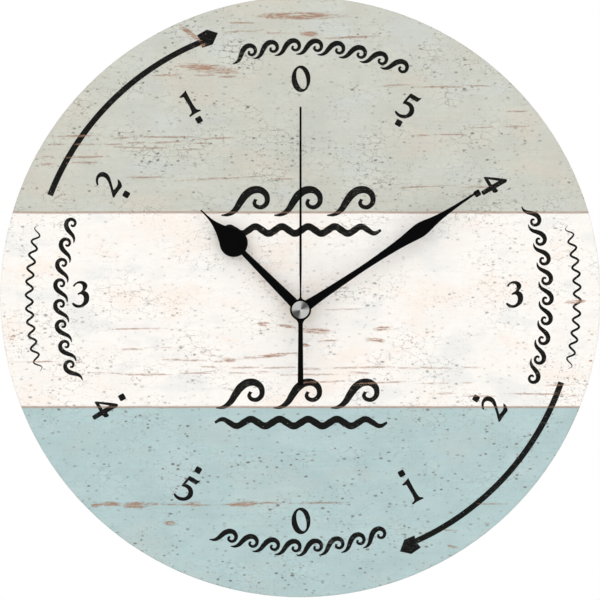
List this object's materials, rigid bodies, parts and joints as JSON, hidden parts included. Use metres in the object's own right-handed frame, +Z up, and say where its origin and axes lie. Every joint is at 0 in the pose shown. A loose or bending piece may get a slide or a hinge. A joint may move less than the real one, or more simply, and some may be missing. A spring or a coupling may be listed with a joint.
{
  "type": "tide clock",
  "caption": "Round wall clock with a printed plank dial, spade and leaf hands, a sweep hand, and a quartz movement whose hour hand follows the tide.",
  "frame": {"origin": "the point of the wall behind the hands' arbor, on the flat back of the movement", "axes": "+Z up, dial facing -Y, so that +Y points into the wall and +X to the viewer's right"},
  "size_m": [0.267, 0.0339, 0.2669],
  "materials": {
    "board": "matte",
    "print": "matte",
    "case_plastic": "matte",
    "inner_plastic": "satin",
    "wheel_plastic": "satin",
    "circuit": "satin",
    "resin": "satin",
    "steel": "satin",
    "brass": "satin",
    "copper": "gloss",
    "magnet": "satin",
    "rubber": "matte",
    "black_sheet": "satin",
    "silver_cap": "polished",
    "cell_sleeve": "gloss"
  },
  "bodies": {
    "dial_and_case": {"dial_board": "board", "dial_face": "print", "front_case": "case_plastic", "back_cover": "case_plastic", "train_bridge": "inner_plastic", "train_plate": "inner_plastic", "circuit_board": "circuit", "chip_cover": "resin", "quartz_can": "steel", "positive_contact": "steel", "negative_contact": "steel", "rubber_washer": "rubber", "fixing_washer": "brass", "fixing_nut": "brass", "stator": "steel", "coil_core": "steel", "coil_bobbin": "inner_plastic", "coil_winding": "copper", "core_screws": "steel"},
    "minute_set": {"centre_wheel": "wheel_plastic", "cannon_pinion": "brass", "minute_bush": "brass", "minute_hand": "black_sheet"},
    "hour_set": {"hour_wheel": "wheel_plastic", "hour_bush": "brass", "hour_hand": "black_sheet"},
    "second_set": {"second_wheel": "wheel_plastic", "second_arbor": "steel", "second_collet": "brass", "second_hand": "black_sheet", "second_cap": "silver_cap"},
    "third_set": {"third_wheel": "wheel_plastic"},
    "intermediate_set": {"intermediate_wheel": "wheel_plastic"},
    "rotor_set": {"rotor_pinion": "wheel_plastic", "rotor_magnet": "magnet"},
    "minute_wheel_set": {"minute_wheel": "wheel_plastic"},
    "knob_set": {"setting_knob": "case_plastic"},
    "cell": {"battery_can": "cell_sleeve", "battery_terminal": "steel"}
  },
  "joints": [
    {"name": "minute_turn", "type": "hinge", "parent": "dial_and_case", "child": "minute_set", "pos_m": [0, -0.0095, 0], "axis": [0, 1, 0], "continuous": true},
    {"name": "hour_turn", "type": "hinge", "parent": "dial_and_case", "child": "hour_set", "pos_m": [0, -0.0095, 0], "axis": [0, 1, 0], "continuous": true},
    {"name": "second_turn", "type": "hinge", "parent": "dial_and_case", "child": "second_set", "pos_m": [0, -0.0095, 0], "axis": [0, 1, 0], "continuous": true},
    {"name": "third_turn", "type": "hinge", "parent": "dial_and_case", "child": "third_set", "pos_m": [0.00936, -0.0095, 0], "axis": [0, 1, 0], "continuous": true},
    {"name": "intermediate_turn", "type": "hinge", "parent": "dial_and_case", "child": "intermediate_set", "pos_m": [0, -0.0095, 0.00945], "axis": [0, 1, 0], "continuous": true},
    {"name": "rotor_turn", "type": "hinge", "parent": "dial_and_case", "child": "rotor_set", "pos_m": [-0.00624, -0.0095, 0.01305], "axis": [0, 1, 0], "continuous": true},
    {"name": "minute_wheel_turn", "type": "hinge", "parent": "dial_and_case", "child": "minute_wheel_set", "pos_m": [-0.00928, -0.0095, 0], "axis": [0, 1, 0], "continuous": true},
    {"name": "knob_turn", "type": "hinge", "parent": "dial_and_case", "child": "knob_set", "pos_m": [-0.0182, -0.0095, 0], "axis": [0, 1, 0], "continuous": true},
    {"name": "cell_pull", "type": "slide", "parent": "dial_and_case", "child": "cell", "axis": [0, 1, 0], "range_m": [0, 0.018]}
  ],
  "couplings": [
    {"joint": "hour_turn", "follows": "minute_turn", "ratio": 0.080488},
    {"joint": "minute_wheel_turn", "follows": "minute_turn", "ratio": -0.29268},
    {"joint": "knob_turn", "follows": "minute_turn", "ratio": 1.2},
    {"joint": "third_turn", "follows": "minute_turn", "ratio": -8},
    {"joint": "second_turn", "follows": "minute_turn", "ratio": 60},
    {"joint": "intermediate_turn", "follows": "minute_turn", "ratio": -360},
    {"joint": "rotor_turn", "follows": "minute_turn", "ratio": 1800}
  ]
}
